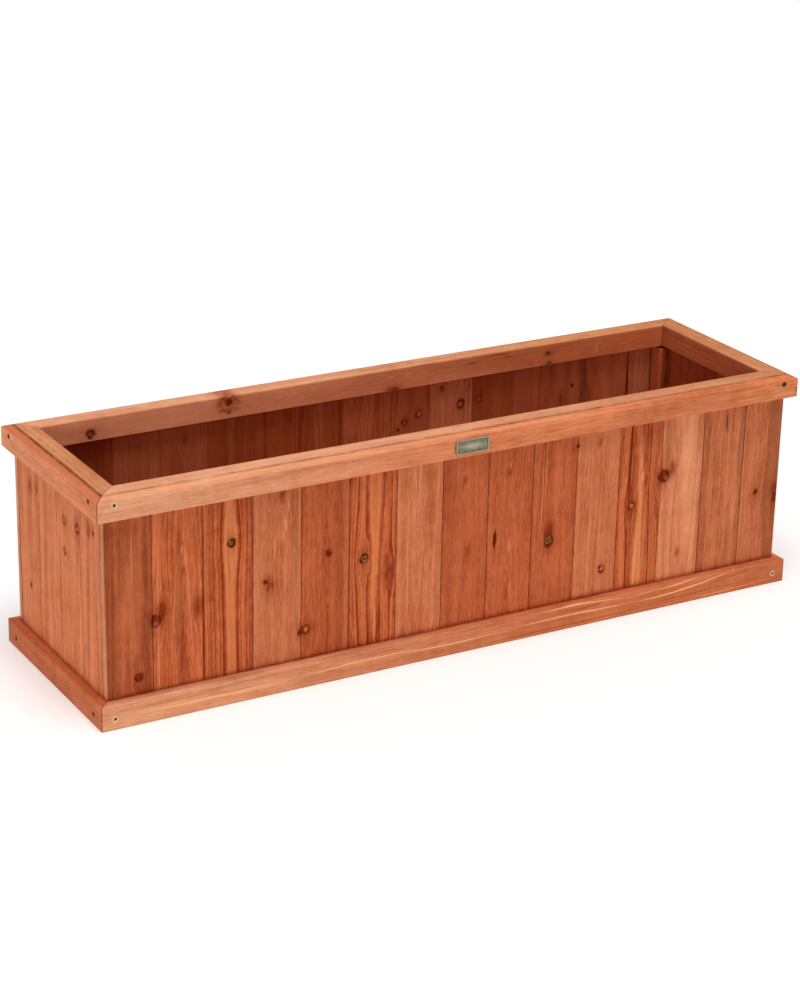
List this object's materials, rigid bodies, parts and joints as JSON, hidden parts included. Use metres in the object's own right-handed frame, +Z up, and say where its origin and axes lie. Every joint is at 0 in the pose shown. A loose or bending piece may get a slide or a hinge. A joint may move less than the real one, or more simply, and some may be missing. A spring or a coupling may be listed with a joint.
{
  "type": "wooden planter box",
  "caption": "Long open-topped planter box of stained tongue-and-groove boards with a mitred rim, mitred top and base trims, and a slatted draining floor.",
  "frame": {"origin": "on the floor, under the middle of the box's rectangular base", "axes": "+X along the box's length, front face with the plate towards -Y, +Z up"},
  "size_m": [1.016, 0.2994, 0.299],
  "materials": {
    "board_wood": "reddish-brown stained softwood boards with knots and flame grain, satin",
    "rim_wood": "stained softwood rail, planed, satin",
    "trim_wood": "stained softwood trim with eased edges, satin",
    "frame_wood": "stained square softwood, sawn",
    "floor_wood": "stained softwood slats",
    "zinc_nail": "zinc-plated steel nails",
    "yellow_zinc": "yellow zinc-plated steel screws",
    "plate_bronze": "antique bronze finish on a thin stamped metal plate, bare"
  },
  "bodies": {
    "root": {"front_board_1": "board_wood", "front_board_2": "board_wood", "front_board_3": "board_wood", "front_board_4": "board_wood", "front_board_5": "board_wood", "front_board_6": "board_wood", "front_board_7": "board_wood", "front_board_8": "board_wood", "front_board_9": "board_wood", "front_board_10": "board_wood", "front_board_11": "board_wood", "front_board_12": "board_wood", "front_board_13": "board_wood", "front_board_14": "board_wood", "front_board_15": "board_wood", "right_board_1": "board_wood", "right_board_2": "board_wood", "right_board_3": "board_wood", "right_board_4": "board_wood", "back_board_1": "board_wood", "back_board_2": "board_wood", "back_board_3": "board_wood", "back_board_4": "board_wood", "back_board_5": "board_wood", "back_board_6": "board_wood", "back_board_7": "board_wood", "back_board_8": "board_wood", "back_board_9": "board_wood", "back_board_10": "board_wood", "back_board_11": "board_wood", "back_board_12": "board_wood", "back_board_13": "board_wood", "back_board_14": "board_wood", "back_board_15": "board_wood", "left_board_1": "board_wood", "left_board_2": "board_wood", "left_board_3": "board_wood", "left_board_4": "board_wood", "front_rim_rail": "rim_wood", "right_rim_rail": "rim_wood", "back_rim_rail": "rim_wood", "left_rim_rail": "rim_wood", "front_top_trim": "trim_wood", "right_top_trim": "trim_wood", "back_top_trim": "trim_wood", "left_top_trim": "trim_wood", "front_base_trim": "trim_wood", "right_base_trim": "trim_wood", "back_base_trim": "trim_wood", "left_base_trim": "trim_wood", "front_corner_post": "frame_wood", "right_corner_post": "frame_wood", "back_corner_post": "frame_wood", "left_corner_post": "frame_wood", "front_batten": "frame_wood", "back_batten": "frame_wood", "floor_slats": "floor_wood", "floor_nails": "zinc_nail", "trim_screws": "yellow_zinc", "name_plate": "plate_bronze"}
  },
  "joints": []
}
